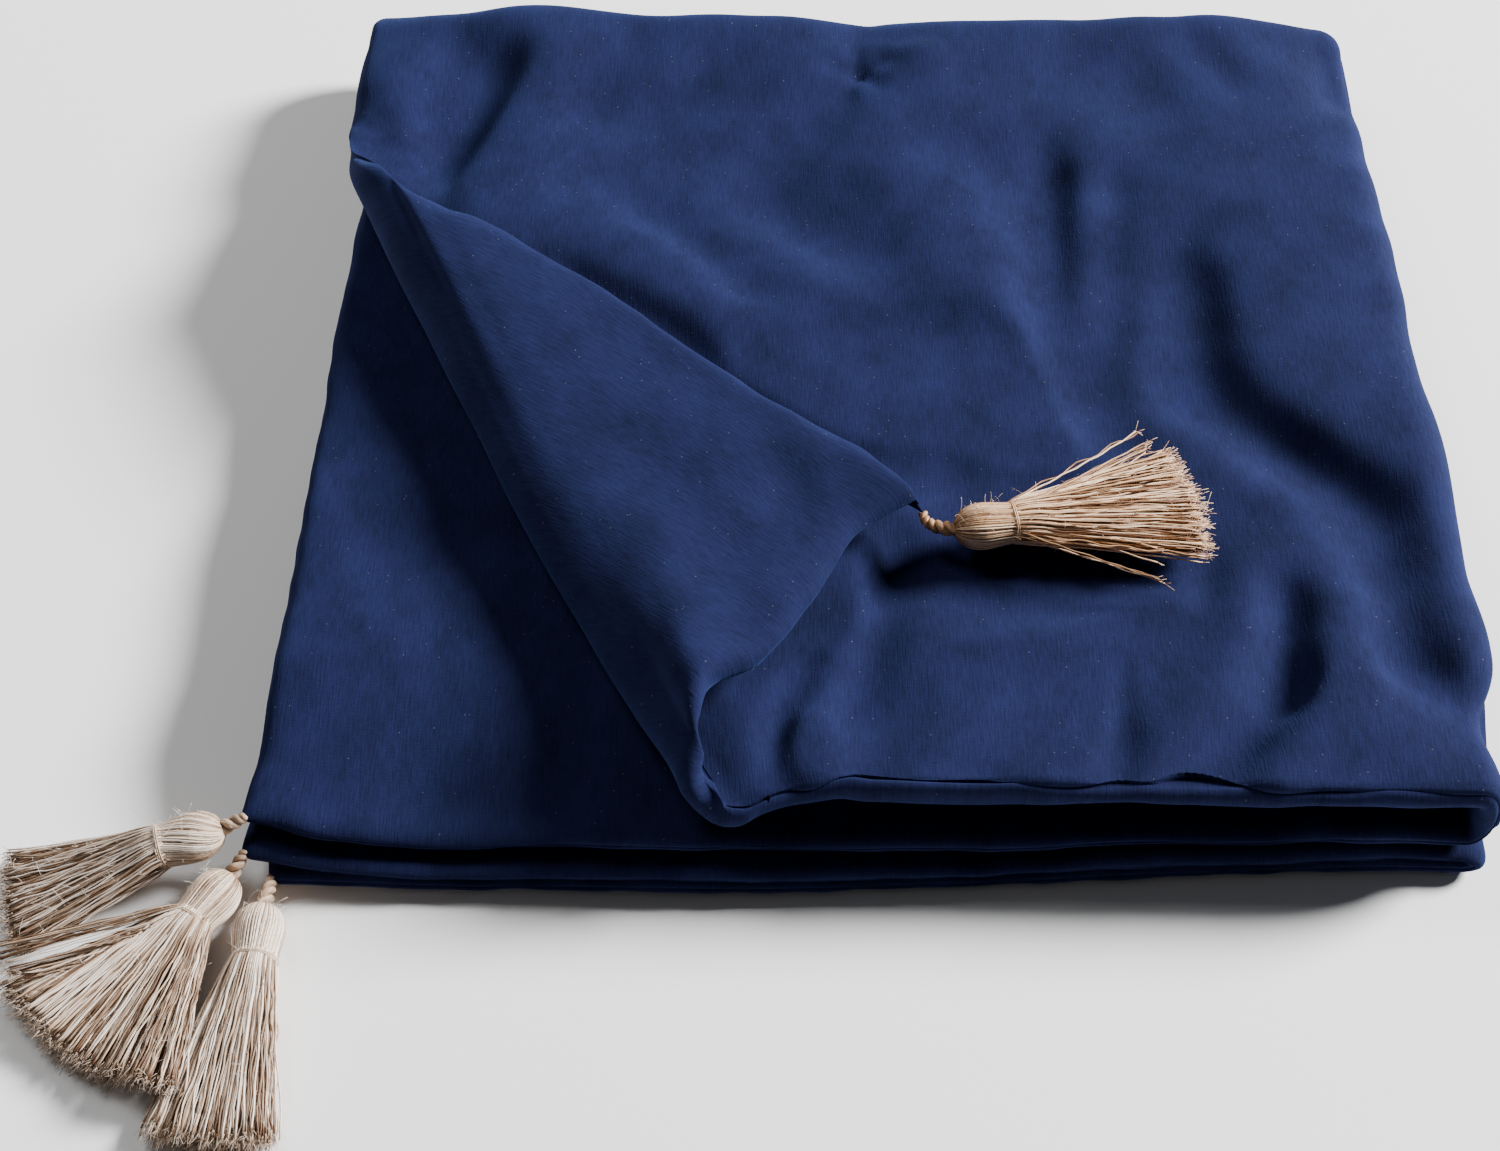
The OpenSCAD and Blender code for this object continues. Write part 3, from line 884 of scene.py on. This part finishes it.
def bulb_radius(along):
    """The wound head's radius along its length: a round top, a full middle and a bound neck."""
    rise = np.clip((along - 0.001) / 0.015, 0, 1)
    fall = smooth(along, 0.014, HEAD_L)
    return 0.002 + (HEAD_R - 0.002) * np.sqrt(1 - (1 - rise) ** 2) - (HEAD_R - NECK_R) * fall


def head_groups(t, rng):
    """A solid core, painted dark as the shade between the yarns, with the yarns that wrap it, laid
    lengthwise with a slight lean.
    """
    steps = 15
    along = np.linspace(0.0012, HEAD_L + 0.003, steps)
    core = t.at(along, 0 * along, 0 * along)[None]
    count = 120
    angle = np.linspace(0, math.tau, count, endpoint=False) + rng.uniform(-0.03, 0.03, count)
    lean = rng.uniform(-0.10, 0.10, count) + t.swirl
    turn = angle[:, None] + lean[:, None] * np.linspace(0, 1, steps) ** 0.7
    radius = bulb_radius(along) - 0.0001 + rng.uniform(-0.0003, 0.0003, count)[:, None]
    up = FLATTENED * radius * np.sin(turn)
    yarns = t.at(np.broadcast_to(along, turn.shape), radius * np.cos(turn), up)
    shade = yarn_shades(t, rng, count) * 0.7 + 0.22 - 0.3 * bell(along, 0.007)
    # the core's low shade of 0.1 is painted shade: it shows dark through the gaps between the head's yarns
    return [(core, (bulb_radius(along) - 0.0005)[None], 28, 0.1), (yarns, YARN_R, 5, shade)]


def binding_groups(t, _):
    """Two turns of thread round the neck."""
    turn = np.linspace(0, math.tau * 2.15, 56)
    along = HEAD_L + 0.0002 + 0.0009 * turn / math.tau + 0.0002 * np.sin(3 * turn)
    radius = NECK_R + 0.0006
    path = t.at(along, radius * np.cos(turn), FLATTENED * radius * np.sin(turn))
    return [(path[None], 0.00042, 6, 0.45)]


def cord_groups(t, _):
    """Two plies twisted round each other, from the mat's corner into the head, where they are thicker."""
    steps = np.linspace(0, 1, 36)[:, None]
    end = t.start + 0.003 * t.forward
    begin = np.array(TIP) if t.name == "turned" else t.root - 0.15 * (end - t.root)
    middle = (1 - steps) ** 2 * begin + 2 * steps * (1 - steps) * t.root + steps ** 2 * end
    axis = unit(np.gradient(middle, axis=0))
    across = unit(np.cross(axis, [0, 0, 1.0]))
    over = np.cross(axis, across)
    thick = CORD_R + CORD_GAIN * smooth(steps)
    length = np.linalg.norm(np.diff(middle, axis=0), axis=1).sum()
    plies = []
    for phase in (0, math.pi):
        turn = phase + steps * length / CORD_PITCH * math.tau
        plies.append(middle + thick * (np.cos(turn) * across + np.sin(turn) * over))
    return [(np.array(plies), 1.08 * thick[:, 0], 8, 0.25)]


def skirt_yarns(t, rng, count, fan, reach=(0.95, 1.02), top_only=False):
    """Paths of loose yarns that leave the neck and fan out over the surface they lie on."""
    share = rng.uniform(-1, 1, count)
    level = rng.uniform(-1, 1, count) * np.sqrt(1 - share ** 2)
    rim = rng.uniform(0, 1, count) < RIM_SHARE
    level = np.where(rim, np.sqrt(1 - share ** 2) * np.where(level < 0, -1, 1), level)
    if top_only:
        level = np.abs(level)
    side0, up0 = share * (NECK_R - 0.0002), FLATTENED * level * (NECK_R - 0.0002)
    middle, spread = (fan[0] + fan[1]) / 2, (fan[1] - fan[0]) / 2
    angle = middle + spread * share + rng.normal(0, YARN_SPREAD, count)
    length = t.skirt * rng.uniform(*reach, count)
    steps = np.linspace(0, 1, 20)
    along = -0.002 + length[:, None] * steps * np.cos(angle)[:, None]
    side = side0[:, None] * (1 - 0.35 * steps) + length[:, None] * steps * np.tan(angle)[:, None]
    phase, turns = rng.uniform(0, math.tau, (count, 1)), rng.uniform(0.4, 1.3, (count, 1))
    side += rng.normal(0, SWAY, (count, 1)) * steps * np.sin(math.tau * turns * steps + phase)
    kink = rng.uniform(2.5, 5.5, (count, 1)) * steps + rng.uniform(0, 1, (count, 1))
    side += rng.normal(0, KINK, (count, 1)) * smooth(steps, 0, 0.3) * np.sin(math.tau * kink)
    flare = FLARE * np.sin(math.pi * np.clip(steps / 0.25, 0, 1))
    up = up0[:, None] + flare * np.sign(level)[:, None]
    paths = t.at(HEAD_L + along, side, up)
    height = t.surface + YARN_R + SKIRT_T * (0.5 + 0.5 * (0.85 * level + 0.15 * rng.uniform(-1, 1, count)))
    height += np.where(share < 0, t.raised[0], t.raised[1]) * smooth(np.abs(share), 0.2, 0.8)
    ease = steps ** 1.15
    droop = rng.normal(0, DROOP, (count, 1)) * np.sin(math.pi * steps)
    paths[..., 2] = np.maximum(paths[..., 2] * (1 - ease) + height[:, None] * ease + droop,
                               t.surface + YARN_R)
    return paths


def fuzz(t, rng, yarns):
    """Fine fibres that stand off the yarns and the head."""
    count = 220
    pick = rng.integers(0, len(yarns), count)
    step = rng.integers(1, yarns.shape[1], count)
    base = yarns[pick, step]
    on_head = rng.uniform(0, 1, count) < 0.25
    along, turn = rng.uniform(0.003, HEAD_L, count), rng.uniform(0, math.pi, count)
    radius = bulb_radius(along)
    base[on_head] = t.at(along, radius * np.cos(turn), radius * np.sin(turn))[on_head]
    aim = unit(rng.normal(0, 1, (count, 3)) + 0.8 * t.up + 0.3 * t.forward)
    curl = rng.normal(0, 0.6, (count, 3))
    steps = np.linspace(0, 1, 5)[None, :, None]
    length = rng.uniform(0.003, 0.010, count)[:, None, None]
    paths = base[:, None] + length * (aim[:, None] * steps + curl[:, None] * steps ** 2 * 0.6)
    paths[..., 2] = np.maximum(paths[..., 2], t.surface + FINE_Z)
    return paths


def frayed_ends(t, rng, yarns):
    """Two short fibres that splay from each yarn's cut end."""
    base = np.repeat(yarns[:, -1], 2, 0)
    aim = unit(np.repeat(yarns[:, -1] - yarns[:, -2], 2, 0)) + rng.normal(0, 0.42, base.shape)
    steps = np.linspace(-0.3, 1, 3)[None, :, None]
    paths = base[:, None] + rng.uniform(0.002, 0.0045, (len(base), 1, 1)) * steps * aim[:, None]
    paths[..., 2] = np.maximum(paths[..., 2], t.surface + FINE_Z)
    return paths


def skirt_groups(t, rng):
    """The skirt's yarns, the loose bunches beside it, their frayed ends and the fuzz."""
    sets = [skirt_yarns(t, rng, t.yarns, t.fan)]
    for heading, spread, count, length in t.bunches:
        fan = math.radians(heading - spread), math.radians(heading + spread)
        sets.append(skirt_yarns(t, rng, count, fan, (length - 0.05, length), True))
    groups = []
    for yarns in sets:
        count, steps = yarns.shape[:2]
        darker_end = 0.25 * smooth(np.linspace(0, 1, steps), 0.86, 1.0)
        shade = yarn_shades(t, rng, count) - darker_end
        groups.append((yarns, YARN_R * rng.uniform(0.85, 1.2, (count, 1)), 4, shade))
        groups.append((frayed_ends(t, rng, yarns), FRAY_R, 3, rng.uniform(0.2, 0.7, (2 * count, 1))))
    groups.append((fuzz(t, rng, sets[0]), FUZZ_R, 3, 0.7))
    return groups


PARTS = {"cord": cord_groups, "head": head_groups, "binding": binding_groups, "skirt": skirt_groups}


def knot(place, tilt):
    """Three crossed loops of thread."""
    turn = np.linspace(0, math.tau, 25)
    loops = []
    for k in range(3):
        bend = tilt + k * math.pi / 3
        loop = np.stack([np.cos(turn), np.sin(turn), np.cos(2 * turn + k)], 1) * KNOT
        across, along = [math.cos(bend), math.sin(bend), 0], [-math.sin(bend), math.cos(bend), 0]
        loops.append(np.array(place) + loop @ np.array([across, along, [0, 0, 1]]))
    return loops


def tacks():
    """The tack stitches: a small knot of navy thread where each one shows on the mat's two sides."""
    for half in ("upper", "lower"):
        node = f"{half}_tack_stitches"
        low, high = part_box(node)
        x, y = (low.x + high.x) / 2, (low.y + high.y) / 2
        loops = knot((x, y, high.z - TACK_DEPTH), 0.4) + knot((x, y, low.z + KNOT_IN), 1.1)
        obj = tube_mesh(f"{half}_tacks", [(np.array(loops), 0.0004, 6, 0.4)], THREAD)
        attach(obj, f"{half}_half")
        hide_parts(node)


def tassels():
    """Every tassel's four parts, with its own random draws."""
    for number, t in enumerate(TASSELS):
        rng = np.random.default_rng(SEED + number)
        material = JUTE_WARM if t.name == "turned" else JUTE
        for part, groups in PARTS.items():
            obj = tube_mesh(f"{t.name}_{part}", groups(t, rng), material)
            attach(obj, f"{t.name}_tassel_cord" if part == "cord" else f"{t.name}_tassel")
            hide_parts(f"{t.name}_tassel_{part}")


# ---------- stage, light and camera ----------

def floor():
    """A pale floor that reaches past the picture."""
    mesh = bpy.data.meshes.new("floor")
    mesh.from_pydata([(-6, -6, 0), (6, -6, 0), (6, 6, 0), (-6, 6, 0)], [], [(0, 1, 2, 3)])
    material, _, bsdf = new_material("floor")
    set_inputs(bsdf, {"Base Color": (0.93, 0.93, 0.93, 1), "Roughness": 0.9})
    mesh.materials.append(material)
    link("floor", mesh)


def area_light(name, place, target, size, power):
    """A round light that faces its target."""
    light = bpy.data.lights.new(name, "AREA")
    light.shape, light.size, light.energy = "DISK", size, power
    obj = link(name, light)
    obj.location = place
    obj.rotation_euler = (Vector(target) - Vector(place)).to_track_quat("-Z", "Y").to_euler()


def studio():
    """Dim white surroundings, a strong light from the right and a weak one from above."""
    world = bpy.data.worlds.new("studio")
    world.use_nodes = True
    set_inputs(world.node_tree.nodes["Background"], {"Color": (1, 1, 1, 1), "Strength": 0.065})
    bpy.context.scene.world = world
    area_light("key", (6.5, 2.6, 3.9), (0, 0, 0), 2.4, 2900)
    area_light("top", (-1.3, 0.9, 2.2), (-0.2, 0, 0), 1.0, 30)


def camera():
    """The photo's camera: it looks 49.6 degrees below level and turns 1.12 degrees to the left."""
    data = bpy.data.cameras.new("camera")
    data.lens, data.sensor_width = 57.86, 36
    obj = link("camera", data)
    obj.location = (-0.0433, -0.9635, 1.0040)
    obj.rotation_euler = (math.radians(90 - 49.6), 0, math.radians(1.12))
    bpy.context.scene.camera = obj


tacks()
tassels()
floor()
studio()
camera()
